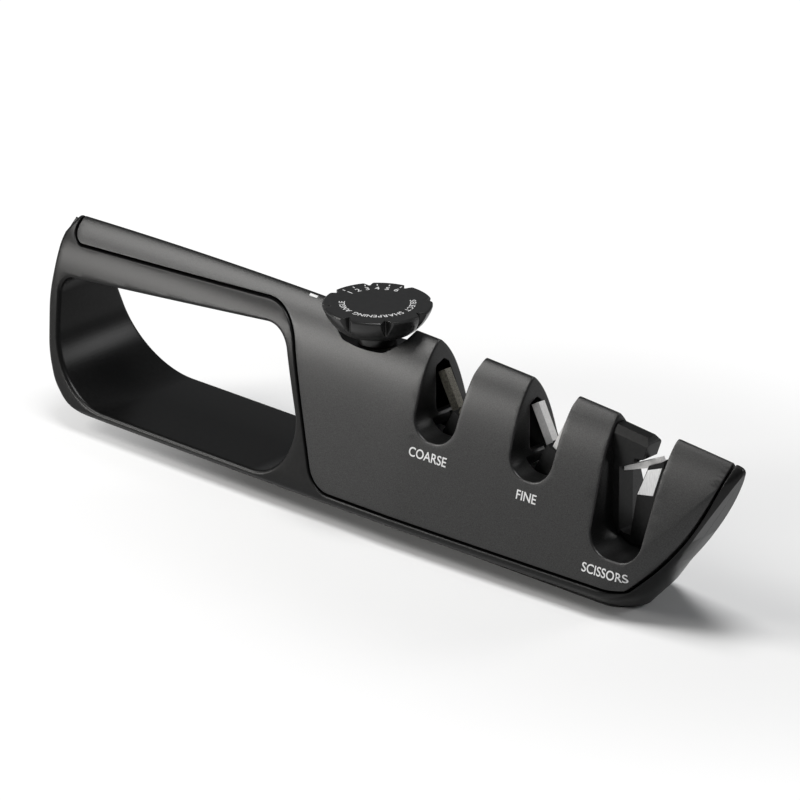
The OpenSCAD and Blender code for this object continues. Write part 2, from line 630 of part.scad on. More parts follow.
module stone(x, s) posed(x, s) slab(s, stone_t, stone_w, stone_z, stone_z + stone_l);
module coarse_rear_carrier() color(black) carrier(coarse_x, 1);
module coarse_front_carrier() color(black) carrier(coarse_x, -1);
module fine_rear_carrier() color(black) carrier(fine_x, 1);
module fine_front_carrier() color(black) carrier(fine_x, -1);
module coarse_rear_stone() color([0.3, 0.29, 0.24]) stone(coarse_x, 1);
module coarse_front_stone() color([0.3, 0.29, 0.24]) stone(coarse_x, -1);
module fine_rear_stone() color([0.85, 0.84, 0.8]) stone(fine_x, 1);
module fine_front_stone() color([0.85, 0.84, 0.8]) stone(fine_x, -1);

// Scissors station: a black insert with a hood on the left and a leaning
// slab on the right holds a white bar and a steel plate. The outlines are in
// shares of the slot's width and depth, from the slot's left lower corner.
hood_t = 5.6;
slab_t = 4;
ix0 = shears_x - shears_w / 2 + turn_gap;
hood_shares = [[0, -0.1], [0, 0.95], [0.6, 0.92], [0.68, 0.88], [0.58, 0.74], [0.4, 0.73],
               [0.38, 0.68], [0.12, 0.62], [0.12, -0.1]];
slab_shares = [[0.28, -0.1], [0.3, 0.05], [0.43, 0.415], [0.66, 0.7], [0.9, 0.76], [1.0, 0.8], [1.07, 0.955],
               [1.3, 0.955], [1.3, -0.1]];
foot_shares = [[-0.1, -0.1], [-0.1, 0.17], [0.16, 0.07], [1.2, 0.07], [1.2, -0.1]];
function insert_pt(s) = [ix0 + s[0] * shears_w, shears_z + s[1] * shears_deep];
module insert_side(shares) intersection() {
    polygon([for (s = shares) insert_pt(s)]);
    offset(delta = -turn_gap) shears_slot();
}
bar_lean = 26;
bar_w = 2.8;
bar_t = 1.6;
bar_l = 14.6;
bar_at = insert_pt([0.12, 0.56]);
plate_shares = [[0.44, 0.43], [0.64, 0.66], [0.91, 0.715], [0.74, 0.46]];
cut_t = 1.2;
insert_screw_x = shears_x + 0.2 * shears_w;
module scissors_insert() color(black) difference() {
    intersection() {
        body_skin(base_z, seam_gap);
        union() {
            across(hood_t) insert_side(hood_shares);
            across(slab_t) {
                insert_side(slab_shares);
                insert_side(foot_shares);
            }
        }
    }
    bar_shape(turn_gap);
    plate_shape(turn_gap);
    translate([insert_screw_x, 0, 0]) cylinder(h = shears_z + insert_hold, d = screw_d);
}
module bar_shape(g) translate([bar_at[0], -bar_t / 2 - g, bar_at[1]]) rotate([0, -bar_lean, 0])
    translate([-g, 0, -bar_w / 2 - g]) cube([bar_l + 2 * g, bar_t + 2 * g, bar_w + 2 * g]);
module plate_shape(g) translate([0, -slab_t / 2 + cut_t / 2 - g / 2, 0])
    across(cut_t + g) offset(delta = g) polygon([for (s = plate_shares) insert_pt(s)]);
module scissors_bar() color([0.85, 0.84, 0.8]) bar_shape(0);
module scissors_plate() color(steel) plate_shape(0);
insert_hold = 4.5;
insert_screw_z = shears_z - liner_t - head_t / 2;
module insert_screw() color(steel) translate([insert_screw_x, 0, insert_screw_z])
    screw(insert_hold);

frame();
top_cover();
base_plate();
base_pad();
base_screws();
angle_knob();
knob_shaft();
crank_disc();
shaft_bush();
retaining_ring();
detent_spring();
cam_slider();
chassis();
pivot_pins();
coarse_rear_carrier();
coarse_front_carrier();
fine_rear_carrier();
fine_front_carrier();
coarse_rear_stone();
coarse_front_stone();
fine_rear_stone();
fine_front_stone();
scissors_insert();
scissors_bar();
scissors_plate();
insert_screw();
front_cover_screw();
centre_cover_screw();
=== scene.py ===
import json
import math

import bpy
import numpy as np
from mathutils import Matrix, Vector


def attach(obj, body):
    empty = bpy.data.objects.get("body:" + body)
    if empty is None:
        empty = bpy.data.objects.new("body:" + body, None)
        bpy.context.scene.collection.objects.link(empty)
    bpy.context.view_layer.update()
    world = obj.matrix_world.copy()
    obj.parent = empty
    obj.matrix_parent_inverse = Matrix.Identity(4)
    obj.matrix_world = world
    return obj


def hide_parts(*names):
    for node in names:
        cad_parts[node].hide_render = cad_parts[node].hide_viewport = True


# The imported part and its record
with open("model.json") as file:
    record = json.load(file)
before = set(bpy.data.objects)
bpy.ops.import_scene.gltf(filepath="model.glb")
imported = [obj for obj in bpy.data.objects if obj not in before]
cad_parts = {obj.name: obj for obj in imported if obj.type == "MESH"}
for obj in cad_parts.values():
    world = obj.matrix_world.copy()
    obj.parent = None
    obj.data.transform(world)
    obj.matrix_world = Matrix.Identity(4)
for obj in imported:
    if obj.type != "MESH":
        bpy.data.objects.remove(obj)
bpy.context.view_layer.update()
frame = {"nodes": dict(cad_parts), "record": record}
MM = 0.001
SOLVER = "MANIFOLD"

# Form of the body, in millimetres and in shares of the body, as in the part's source
BODY_L, RIM_W, RIDGE_H, BASE_W, RIM_Z, SEAM_Z = 244.8, 37.2, 56.4, 15, 6, 8.8
WALL, SEAM_GAP, PASS_GAP, TURN_GAP = 2, 0.7, 0.3, 0.05
NOSE_RUN = 0.1389 * BODY_L
POST_T, ARCH_T, RAIL_H = 3.6, 3.2, 8
GRIP_L, GRIP_H = 0.3783 * BODY_L, 0.697 * RIDGE_H
SLOT_W, SLOT_DEEP, SHEARS_W, SHEARS_DEEP = 15.2, 0.4255 * RIDGE_H, 17.8, 0.6095 * RIDGE_H
COARSE_X = 0.0915 * BODY_L
FINE_X = COARSE_X + 0.1373 * BODY_L
SHEARS_X = FINE_X + 0.1291 * BODY_L
KNOB_D, KNOB_H = 30, 7
BODY_X0 = -BODY_L / 2
CROWN_X, CREST_FALL = -0.204 * BODY_L, 0.2656
SHOULDER_W, SHOULDER_X, SHOULDER_FALL = 0.306 * RIM_W / 2, 0.05 * BODY_L, 0.0245
BEND = 0.105 * RIDGE_H
APEX = 0.009 * RIDGE_H
SLOPE = (RIM_W / 2 - SHOULDER_W) / (RIDGE_H - RIM_Z)
TIP_Z = 0.86 * RIDGE_H
TIP_R = 0.03 * RIDGE_H
NOSE_SWELL, BULGE, BULGE_FROM = 0.2, 0.04 * RIM_W, 0.3
BOW_MIN, BOW_MAX = 0.094 * RIM_W, 0.27 * RIM_W
BASE_Z = 0.8
EDGE_STEP, CLEAR = 1.2, 0.004
SPAN = 2 * RIM_W
FAR = 2 * RIDGE_H


def ridge(x):
    """Height of the crest."""
    return RIDGE_H * (1 - CREST_FALL * ((x - CROWN_X) / BODY_L) ** 2)


def shoulder(x):
    return SHOULDER_W - SHOULDER_FALL * max(0.0, x - SHOULDER_X)


def spread(u, a):
    return a * (1 - math.exp(-u / BEND)) + SLOPE * u


def half_w(x, z):
    """Half width of the section, without the bow of the nose."""
    d, a = ridge(x) - z, shoulder(x)
    return 0.0 if d <= 0 else math.sqrt(spread(d + APEX, a) ** 2 - spread(APEX, a) ** 2)


def stem(z):
    """End of the raked nose seen from the side."""
    t = z / TIP_Z
    return BODY_L / 2 - NOSE_RUN * (1 - t * (1 + NOSE_SWELL * (1 - t)))


def bulge(z):
    return BULGE * math.sin(math.pi * max(0, min(1, (z / TIP_Z - BULGE_FROM) / (1 - BULGE_FROM))))


def bow(z, g=0.0):
    """End of the nose and radius of its bow at height z."""
    xe = stem(z) + bulge(z) - g
    return xe, max(BOW_MIN, min(BOW_MAX, half_w(xe - BOW_MAX, z)))


def side_w(x, z):
    """Half width of the finished skin at a point seen from the side."""
    if z < RIM_Z:
        w = BASE_W / 2 + (half_w(x, RIM_Z) - BASE_W / 2) * max(0, z - BASE_Z) / (RIM_Z - BASE_Z)
    else:
        w = half_w(x, z)
    xe, c = bow(z)
    s = (x - xe + c) / c
    return w if s <= 0 else w * math.sqrt(max(0.0, 1 - min(1, s) ** 2))


def skin_normal(x, z, side):
    """Outward normal of the skin, from the slopes of the squared half width."""
    e = 0.02
    z = min(z, ridge(x) - 0.004)
    w = side_w(x, z)
    gx = (side_w(x + e, z) ** 2 - side_w(x - e, z) ** 2) / (2 * e)
    z1, z0 = min(z + e, ridge(x)), z - e
    gz = (side_w(x, z1) ** 2 - side_w(x, z0) ** 2) / (z1 - z0)
    return np.array(Vector((-gx, 2 * w * side, -gz)).normalized())


# Mesh helpers. Every form is made in millimetres and scaled when it is linked.
def linked(name, data):
    obj = bpy.data.objects.new(name, data)
    bpy.context.scene.collection.objects.link(obj)
    return obj


def solid(verts, faces):
    """A closed mesh object with its faces turned outwards."""
    v = np.asarray(verts, float)
    vol = 0.0
    for f in faces:
        for i in range(1, len(f) - 1):
            vol += float(np.dot(v[f[0]], np.cross(v[f[i]], v[f[i + 1]])))
    if vol < 0:
        faces = [list(reversed(f)) for f in faces]
    mesh = bpy.data.meshes.new("form")
    mesh.from_pydata([tuple(p) for p in v * MM], [], [list(map(int, f)) for f in faces])
    return linked("form", mesh)


def loft(rings, closed=False):
    """Joins equal rings of points into a closed solid."""
    n, m = len(rings), len(rings[0])
    verts = [p for ring in rings for p in ring]
    faces = []
    for i in range(n if closed else n - 1):
        a, b = i * m, ((i + 1) % n) * m
        faces += [[a + j, a + (j + 1) % m, b + (j + 1) % m, b + j] for j in range(m)]
    if not closed:
        faces += [list(range(m))[::-1], [(n - 1) * m + j for j in range(m)]]
    return solid(verts, faces)


def boolean(obj, tool, how):
    mod = obj.modifiers.new("cut", "BOOLEAN")
    mod.operation, mod.solver, mod.object = how, SOLVER, tool
    graph = bpy.context.evaluated_depsgraph_get()
    mesh = bpy.data.meshes.new_from_object(obj.evaluated_get(graph))
    obj.modifiers.clear()
    obj.data = mesh
    bpy.data.objects.remove(tool)


def cut(obj, *tools):
    for t in tools:
        boolean(obj, t, "DIFFERENCE")


def add(obj, *tools):
    for t in tools:
        boolean(obj, t, "UNION")


def both(obj, *tools):
    for t in tools:
        boolean(obj, t, "INTERSECT")
    return obj


def copy(obj):
    return linked("form", obj.data.copy())


def box(x0, y0, z0, x1, y1, z1):
    return loft([[(x, y0, z0), (x, y1, z0), (x, y1, z1), (x, y0, z1)] for x in (x0, x1)])


def across(outline, w=SPAN):
    """Side outline of x and z extruded across the body."""
    return loft([[(x, y, z) for x, z in outline] for y in (-w / 2, w / 2)])


def along(outline, x0, x1):
    """Outline of y and z extruded along the body."""
    return loft([[(x, y, z) for y, z in outline] for x in (x0, x1)])


def turned(profile, x, y=0, steps=96):
    """Solid of revolution about an upright axis from a profile of r and z that ends on the axis."""
    rings = [[(x + r * math.cos(a), y + r * math.sin(a), z) for r, z in profile]
             for a in (2 * math.pi * i / steps for i in range(steps))]
    m = len(profile)
    verts = [p for ring in rings for p in ring[1:-1]]
    verts += [(x, y, profile[0][1]), (x, y, profile[-1][1])]
    k, low, high = m - 2, len(verts) - 2, len(verts) - 1
    faces = []
    for i in range(steps):
        a, b = i * k, ((i + 1) % steps) * k
        faces += [[a + j, b + j, b + j + 1, a + j + 1] for j in range(k - 1)]
        faces += [[a, low, b], [a + k - 1, b + k - 1, high]]
    return solid(verts, faces)


def rod(x, y, z0, z1, r):
    return turned([(0, z0), (r, z0), (r, z1), (0, z1)], x, y, 64)


# Outlines seen from the side
def rounded(points, steps=22):
    """Outline with rounded corners, each corner given as x, z and radius."""
    out, n = [], len(points)
    for i, (x, z, r) in enumerate(points):
        b = np.array([x, z], float)
        if r == 0:
            out.append(tuple(b))
            continue
        u = np.array(points[i - 1][:2], float) - b
        v = np.array(points[(i + 1) % n][:2], float) - b
        u, v = u / np.linalg.norm(u), v / np.linalg.norm(v)
        h = math.acos(max(-1, min(1, float(u @ v)))) / 2
        c = b + (u + v) / np.linalg.norm(u + v) * r / math.sin(h)
        e, f = b + u * r / math.tan(h) - c, b + v * r / math.tan(h) - c
        a0 = math.atan2(e[1], e[0])
        turn = (math.atan2(f[1], f[0]) - a0 + math.pi) % (2 * math.pi) - math.pi
        angles = [a0 + turn * k / steps for k in range(steps + 1)]
        out += [tuple(c + r * np.array([math.cos(a), math.sin(a)])) for a in angles]
    return out


def area(outline):
    p = np.array(outline)
    q = np.roll(p, -1, 0)
    return float((p[:, 0] * q[:, 1] - p[:, 1] * q[:, 0]).sum()) / 2


def normals_of(outline):
    """Unit normals that point out of a closed outline."""
    p = np.array(outline, float)
    t = np.roll(p, -1, 0) - np.roll(p, 1, 0)
    t /= np.linalg.norm(t, axis=1)[:, None]
    n = np.stack([t[:, 1], -t[:, 0]], 1)
    return n if area(outline) > 0 else -n


def grown(outline, g):
    """Outline moved outwards by g with its corners kept sharp."""
    p = np.array(outline, float)
    a, b = p - np.roll(p, 1, 0), np.roll(p, -1, 0) - p
    a /= np.linalg.norm(a, axis=1)[:, None]
    b /= np.linalg.norm(b, axis=1)[:, None]
    na, nb = np.stack([a[:, 1], -a[:, 0]], 1), np.stack([b[:, 1], -b[:, 0]], 1)
    m = na + nb
    m /= (m * m).sum(1)[:, None] / 2
    return [tuple(q) for q in p + (g if area(outline) > 0 else -g) * m]


def dense(points):
    """Points of an outline with long straight runs divided."""
    out = []
    for p, q in zip(points, points[1:] + points[:1]):
        n = max(1, int(math.dist(p, q) / EDGE_STEP))
        out += [(p[0] + (q[0] - p[0]) * i / n, p[1] + (q[1] - p[1]) * i / n) for i in range(n)]
    return out


# Rounding of the edges between a wall and the skin
def samples_of(outline, sign):
    """Edge samples of an outline: place from the side and the normal into the open side."""
    return list(zip(outline, normals_of(outline) * sign))


def over_ridge(samples):
    """The run of samples below the ridge, with close steps where it nears the crest."""
    keep = [i for i, (p, n) in enumerate(samples) if p[1] < ridge(p[0]) - 0.02 and p[1] > BASE_Z]
    start = next(i for i in keep if (i - 1) % len(samples) not in keep)
    run = []
    i = start
    while i in keep and len(run) <= len(samples):
        run.append(samples[i])
        i = (i + 1) % len(samples)

    def crest(inner, outer):
        (p, n), (q, _) = inner, outer
        low, high = 0.0, 1.0
        for _ in range(40):
            mid = (low + high) / 2
            x, z = p[0] + (q[0] - p[0]) * mid, p[1] + (q[1] - p[1]) * mid
            low, high = (mid, high) if z < ridge(x) else (low, mid)
        top = (p[0] + (q[0] - p[0]) * low, p[1] + (q[1] - p[1]) * low)
        shares = [1 - (1 - k / 9) ** 2 for k in range(1, 10)]
        return [((p[0] + (top[0] - p[0]) * s, p[1] + (top[1] - p[1]) * s), n) for s in shares]

    head = crest(run[0], samples[(start - 1) % len(samples)])[::-1]
    tail = crest(run[-1], samples[i])
    return head + run + tail


def edge_loop(samples, side):
    """Edge samples in space: point, normal of the wall into the open side, normal of the skin."""
    out = []
    for (x, z), n in samples:
        w = side_w(x, z)
        out.append((np.array([x, side * w, z]), np.array([n[0], 0, n[1]]), skin_normal(x, z, side)))
    return out


def curved(a, corner, b, steps):
    """Points of a smooth curve from a to b that leaves a corner inside."""
    shares = [i / steps for i in range(steps + 1)]
    return [a * (1 - t) ** 2 + corner * 2 * t * (1 - t) + b * t * t for t in shares]


def rounding(edge, size, closed=True, reach=1.0, ease=0):
    """Tool that rounds an edge between a wall and the skin, its ends running out over ease samples."""
    rings = []
    for i, (c, nw, ns) in enumerate(edge):
        r = size * min(1, (min(i, len(edge) - 1 - i) + 0.3) / ease) if ease else size
        down = -ns + nw * float(ns @ nw)
        down /= np.linalg.norm(down)
        away = -nw + ns * float(ns @ nw)
        away /= np.linalg.norm(away)
        a, b = c + down * r, c + away * r
        ring = curved(a, c, b, 6)
        ring[0] = ring[0] + nw * CLEAR
        ring[-1] = ring[-1] + ns * CLEAR
        ring += [b + ns * reach, c + (ns + nw) * reach, a + nw * reach]
        rings.append([tuple(p) for p in ring])
    return loft(rings, closed)


def round_closed(obj, outline, sign, r):
    for side in (-1, 1):
        cut(obj, rounding(edge_loop(samples_of(outline, sign), side), r))


def round_over(obj, outline, sign, r):
    run = over_ridge(samples_of(outline, sign))
    front, rear = edge_loop(run, -1), edge_loop(run, 1)
    cut(obj, rounding(front + rear[::-1][1:-1], r))


def skin(z0, g=0.0, rows=44, straight=60, bows=22):
    """The body as rings that follow the raked nose, g deep inside the skin and flat on top if g is given."""
    drop = g + 0.6 if g else 0.0
    rim_r = 0.0 if g else 1.5
    sweep = math.radians(89)

    def ring_x(k, z):
        xe, c = bow(z, g)
        if k <= straight:
            return BODY_X0 - 1 + (xe - c - BODY_X0 + 1) * k / straight
        return xe - c * (1 - math.sin(sweep * (k - straight) / bows))

    rings = []
    for k in range(straight + bows + 1):
        fade = 1.0 if k <= straight else math.cos(sweep * (k - straight) / bows)
        half = []
        for j in range(rows + 1):
            share = 1 - ((rows - j) / rows) ** 2.2
            z = RIM_Z + rim_r + (TIP_Z - RIM_Z - rim_r) * share
            for _ in range(6):
                x = ring_x(k, z)
                z = RIM_Z + rim_r + (ridge(x) - drop - RIM_Z - rim_r) * share
            y = 0.0 if j == rows and not g else max(0.02 * BOW_MAX, half_w(x, z) - 1.05 * g) * fade
            half.append((x, y, z))
        low = (ring_x(k, z0), (BASE_W - g) / 2 * fade, z0)
        if rim_r:
            xc = ring_x(k, RIM_Z)
            corner = np.array([xc, half_w(xc, RIM_Z) * fade, RIM_Z])
            top = np.array(half[0])
            under = corner + (np.array(low) - corner) * 0.22
            half = [tuple(p) for p in curved(under, corner, top, 7)[:-1]] + half
        half = [low] + half
        top = [half[-1]] if half[-1][1] == 0 else [half[-1], (half[-1][0], -half[-1][1], half[-1][2])]
        rings.append(half[:-1] + top + [(x, -y, z) for x, y, z in half[-2::-1]])
    return loft(rings)


# Outlines of the handle, the whole side and the cover. Their corners are shares of the grip or the body.
grip_x = BODY_X0 + POST_T
grip_pts = [(grip_x + a * GRIP_L, RAIL_H + b * GRIP_H, c * GRIP_H)
            for a, b, c in ((0, 0.81, 0.1), (0.89, 1, 0.23), (1.086, 0, 0.336), (0.064, 0, 0.56))]
tail = [(0.004, 0.985, 0.03), (-0.0003, 0.87, 0.35), (0.0015, 0.6, 0.7), (0.015, 0.34, 0.5),
        (0.037, 0.165, 0.25), (0.088, 0.09, 0.14)]
foot_zs = [BASE_Z + (TIP_Z - TIP_R - BASE_Z) * i / 40 for i in range(41)]
side_outline = rounded(
    [(BODY_X0 + a * BODY_L, b * RIDGE_H, c * RIDGE_H) for a, b, c in tail[1:]]
    + [(BODY_X0 + 0.12 * BODY_L, BASE_Z, 0)] + [(stem(z), z, 0) for z in foot_zs]
    + [(BODY_L / 2 - TIP_R / 4, ridge(BODY_L / 2), TIP_R), (0, 1.06 * RIDGE_H, 0),
       (BODY_X0 + tail[0][0] * BODY_L, ridge(BODY_X0), TIP_R)])
tongue_x = BODY_X0 + 1.2 * POST_T
arch_top = (grip_pts[1][0] + 0.42 * ARCH_T, 0.948 * RIDGE_H, 0.25 * RIDGE_H)
arch_foot = (grip_pts[2][0] + 0.77 * ARCH_T, SEAM_Z, 0.16 * RIDGE_H)
CAP_MID, CAP_T, CAP_FLARE, SEAM_R = 0.58 * TIP_Z, 1.7, 1.67, 1.2


def nose_seam(z):
    """Front end of the cover, behind the black cap of the nose."""
    return stem(z) - CAP_T * (1 + CAP_FLARE * ((z - CAP_MID) / (TIP_Z - CAP_MID)) ** 2)


seam_zs = [SEAM_Z + (RIDGE_H - SEAM_Z) * i / 40 for i in range(41)]
cover_outline = rounded(
    [(tongue_x, FAR, 0), (tongue_x, 0.875 * RIDGE_H, 0.07 * RIDGE_H), arch_top, arch_foot]
    + [(nose_seam(z), z, 0 if i else SEAM_R) for i, z in enumerate(seam_zs)]
    + [(nose_seam(RIDGE_H), FAR, 0)])
grip_outline = rounded(grip_pts, 30)


def slot_outline(x, w, z, r, tilt):
    """Slot with an upright left wall and a right wall that flares towards the crest."""
    return rounded([(x - w / 2, FAR, 0), (x - w / 2, z, r), (x + w / 2 - tilt, z, r),
                    (x + w / 2, 0.9 * RIDGE_H, 0.1 * RIDGE_H),
                    (x + w / 2 + 4 * tilt, 1.3 * RIDGE_H, 0), (x + w / 2 + 4 * tilt, FAR, 0)], 26)


def floor_z(x):
    return ridge(x) - SLOT_DEEP


shears_z = ridge(SHEARS_X) - SHEARS_DEEP
slots = [slot_outline(x, SLOT_W, floor_z(x), 0.42 * SLOT_W, 0.1 * SLOT_W) for x in (COARSE_X, FINE_X)]
seat = slot_outline(SHEARS_X, SHEARS_W, shears_z, 0.38 * SHEARS_W, 0.2 * SHEARS_W)
MOUTH, MOUTH_DROP = 2.2, 0.5
slots.append(slot_outline(SHEARS_X + MOUTH / 2, SHEARS_W + MOUTH, shears_z - MOUTH_DROP,
                          0.38 * SHEARS_W, 0.2 * SHEARS_W))

# Knob, bowl and the levels of the works
KNOB_X = -0.0335 * BODY_L
KNOB_Z = RIDGE_H + 0.11 * KNOB_D - KNOB_H
BOWL_Z = KNOB_Z - 4.4
BOWL_R = 0.533 * KNOB_D
RISE = KNOB_H / 2.8
bowl_line = [(0.213 * KNOB_D, 0), (0.58 * BOWL_R, 0.24 * RISE), (0.7 * BOWL_R, RISE),
             (0.83 * BOWL_R, 2 * RISE), (0.9 * BOWL_R, 3 * RISE)]


def bowl(g):
    """The pocket round the knob, its flare drawn as a smooth curve."""
    r = [p[0] for p in bowl_line]
    z = [p[1] for p in bowl_line]
    flat = [(r[0] * (1 - t) + r[1] * t, z[0] * (1 - t) + z[1] * t) for t in (0, 0.5)]
    points = np.array(bowl_line)
    curve = []
    for i in range(25):
        t = i / 24 * 3 + 1
        k = min(int(t), 3)
        f = t - k
        p0, p1, p2, p3 = (points[max(0, min(4, q))] for q in (k - 1, k, k + 1, k + 2))
        curve.append(tuple(0.5 * (2 * p1 + (p2 - p0) * f + (2 * p0 - 5 * p1 + 4 * p2 - p3) * f * f
                                  + (3 * p1 - p0 - 3 * p2 + p3) * f ** 3)))
    line = [(a + g, BOWL_Z + b - g) for a, b in flat + curve]
    return turned([(0, BOWL_Z - g)] + line + [(BOWL_R + g, FAR), (0, FAR)], KNOB_X)


pivot_z = 0.4255 * RIDGE_H
chassis_top = pivot_z + 0.046 * RIDGE_H
tower_x = COARSE_X + 0.0686 * BODY_L
screw_x = SHEARS_X - 0.146 * SHEARS_W
plate_x0, plate_x1 = BODY_X0 + 0.115 * BODY_L, screw_x - 4.7
well_x0, well_x1 = arch_foot[0] + 2.4 * WALL, nose_seam(SEAM_Z) - 3 * WALL
well_w, plate_w, frame_floor = 0.533 * BASE_W, 0.707 * BASE_W, BASE_Z + 3.2
PILOT_R, CLEARANCE_R, HEAD_R = 1.1, 1.2, 2.15
# Radii of the rounded edges: grip, frame seam, back of the handle, slots, cover seam
GRIP_EDGE, SEAM_EDGE, TAIL_EDGE, SLOT_EDGE, COVER_EDGE = 1.2, 0.4, 1.4, 0.5, 0.3

# Black moulding with the handle loop, the rim and the nose
hull = skin(BASE_Z)
moulding = both(copy(hull), across(side_outline))
cut(moulding, across(grown(cover_outline, SEAM_GAP)))
lip = both(skin(BASE_Z, WALL + PASS_GAP, 16, 30, 10),
           box(well_x0 - WALL, -RIM_W, SEAM_Z - 2 * WALL, well_x1, RIM_W, SEAM_Z + 2))
add(moulding, lip)
cut(moulding, across(grip_outline))
channel_x0, channel_x1, channel_w = grip_x + 0.07 * GRIP_L, grip_x + 0.8 * GRIP_L, 0.16 * RIM_W
cut(moulding, across([(channel_x0, grip_pts[0][1] + 1.6 * WALL), (channel_x1, grip_pts[1][1] + WALL),
                      (channel_x1, FAR), (channel_x0, FAR)], channel_w))
cut(moulding, both(skin(BASE_Z, 1.8 * WALL + PASS_GAP, 16, 30, 10),
                   box(well_x0, -RIM_W, frame_floor, well_x1, RIM_W, RIDGE_H)))
cut(moulding, box(plate_x0, -plate_w / 2, 0, plate_x1, plate_w / 2, BASE_Z + 1.6),
    box(well_x0, -well_w / 2, 0, plate_x1 - WALL, well_w / 2, frame_floor + 1),
    rod(screw_x, 0, -1, RIDGE_H / 2, CLEARANCE_R), rod(screw_x, 0, -1, BASE_Z + 1.7, HEAD_R))
round_closed(moulding, dense(grip_outline), -1, GRIP_EDGE)
round_over(moulding, dense(grown(cover_outline, SEAM_GAP)), -1, SEAM_EDGE)


def tail_edge():
    """The edge round the back of the handle, from below at the rear over the crest to below at the front."""
    run = [s for s in samples_of(dense(side_outline), 1) if s[0][0] < BODY_X0 + 0.15 * BODY_L]
    run = over_ridge(run + [((BODY_X0 + 30, FAR), np.array([0.0, 1.0]))])
    low = [i for i, s in enumerate(run) if s[0][1] < BASE_Z + 0.6]
    if low:
        run = run[:low[0]] if low[0] > len(run) / 2 else run[low[-1] + 1:]
    crest_first = run[0][0][1] > run[-1][0][1]
    run = run if crest_first else run[::-1]
    run = [s for s in run if s[0][1] > RIM_Z + 0.3]
    return edge_loop(run[::-1], 1) + edge_loop(run, -1)[1:]


cut(moulding, rounding(tail_edge(), TAIL_EDGE, closed=False, reach=2.5, ease=12))

# Anthracite cover with tongue, slot walls and knob bowl
shell = both(copy(hull), across(side_outline), across(cover_outline))
outer = copy(shell)
room = both(skin(BASE_Z, WALL, 20, 40, 10), across(
    [(tongue_x + 2 * WALL, 0), (nose_seam(0) - 2 * WALL, 0)]
    + [(nose_seam(z) - 1.3 * WALL, z) for z in seam_zs] + [(tongue_x + 2 * WALL, RIDGE_H)]))
cut(shell, room)
ribs = across(grown(slots[0], 1.6))
add(ribs, across(grown(slots[1], 1.6)), across(grown(slots[2], 1.6)), bowl(WALL),
    rod(KNOB_X, 0, BOWL_Z - 7, BOWL_Z + 1, 5.5), rod(tower_x, 0, chassis_top + 1.5, RIDGE_H - WALL, 3),
    rod(screw_x, 0, frame_floor, shears_z, 3))
hook_z = grip_pts[1][1]
for share in (0.12, 0.72):
    hx = grip_x + share * GRIP_L
    add(ribs, box(hx, -0.06 * RIM_W, hook_z + 1.2 * WALL, hx + 2 * WALL, 0.06 * RIM_W, RIDGE_H - 0.8 * WALL))
add(shell, both(ribs, outer))
for outline in slots:
    cut(shell, across(outline))
cut(shell, bowl(0))


def window(x, mirror):
    """Opening in a slot wall for a stone, its corners given as shares of the half width and the depth."""
    pts = []
    for a, b in ((-1, 0.84), (-1, 0.28), (0.55, 0.22), (1, 0.28), (1, 0.54), (1, 0.84)):
        z = ridge(x) - b * SLOT_DEEP
        y = -1.9 if a < 0 else a * (half_w(x, z) - 2.4)
        pts.append((y * mirror, z, 0.9 if a < 0 or b < 0.5 else 0.4))
    line = rounded(pts, 6)
    ends = sorted([x - mirror * (SLOT_W / 2 + 3.2), x - mirror * (SLOT_W / 2 - 1.6)])
    return along(line, *ends)


for x in (COARSE_X, FINE_X):
    cut(shell, window(x, 1), window(x, -1),
        box(x - 6.7, -4.4, floor_z(x) - 3.2, x + 6.7, 4.4, floor_z(x) + 4.8))
insert_screw_x = SHEARS_X + 0.2 * SHEARS_W
cut(shell, rod(KNOB_X, 0, 20, RIDGE_H, 3.6), rod(tower_x, 0, 0, chassis_top + 9.5, PILOT_R),
    rod(screw_x, 0, 0, frame_floor + 7, PILOT_R), rod(insert_screw_x, 0, 0, shears_z + 2 * WALL, CLEARANCE_R))
for outline in slots:
    round_over(shell, dense(outline), -1, SLOT_EDGE)
round_over(shell, dense(cover_outline), 1, COVER_EDGE)

# Knob with its neck, the bore for the shaft and eight grip notches
KNOB_TOP = KNOB_H - 0.02
KNOB_LINE = [(0, 0), (10.2, 0), (11.6, 1.1), (12.9, 2.5), (13.9, 4), (14.6, 5.4), (14.9, 6.3), (14.9, 6.55),
             (14.78, 6.78), (14.55, 6.92), (14.3, KNOB_TOP), (0, KNOB_TOP)]
NECK_R, BORE_R, NOTCHES, NOTCH_TURN = 5.2, 2, 8, 7.5
NOTCH = [(12.75, -0.25), (12.6, 0), (12.75, 0.25), (13.4, 0.62), (14.2, 1.18), (15.0, 1.95), (16.4, 3.3),
         (16.4, -3.3), (15.0, -1.95), (14.2, -1.18), (13.4, -0.62)]
knob_body = turned([(r, KNOB_Z + z) for r, z in KNOB_LINE], KNOB_X, steps=192)
add(knob_body, rod(KNOB_X, 0, BOWL_Z + PASS_GAP, KNOB_Z + 1, NECK_R))
cut(knob_body, rod(KNOB_X, 0, BOWL_Z - 1, KNOB_Z + 4.5, BORE_R))
for i in range(NOTCHES):
    a = math.radians(360 / NOTCHES * i + NOTCH_TURN)
    u, v = np.array([math.cos(a), math.sin(a)]), np.array([-math.sin(a), math.cos(a)])
    line = [np.array([KNOB_X, 0]) + d * u + w * v for d, w in NOTCH]
    cut(knob_body, loft([[(p[0], p[1], z) for p in line] for z in (KNOB_Z - 2, KNOB_Z + 9)]))

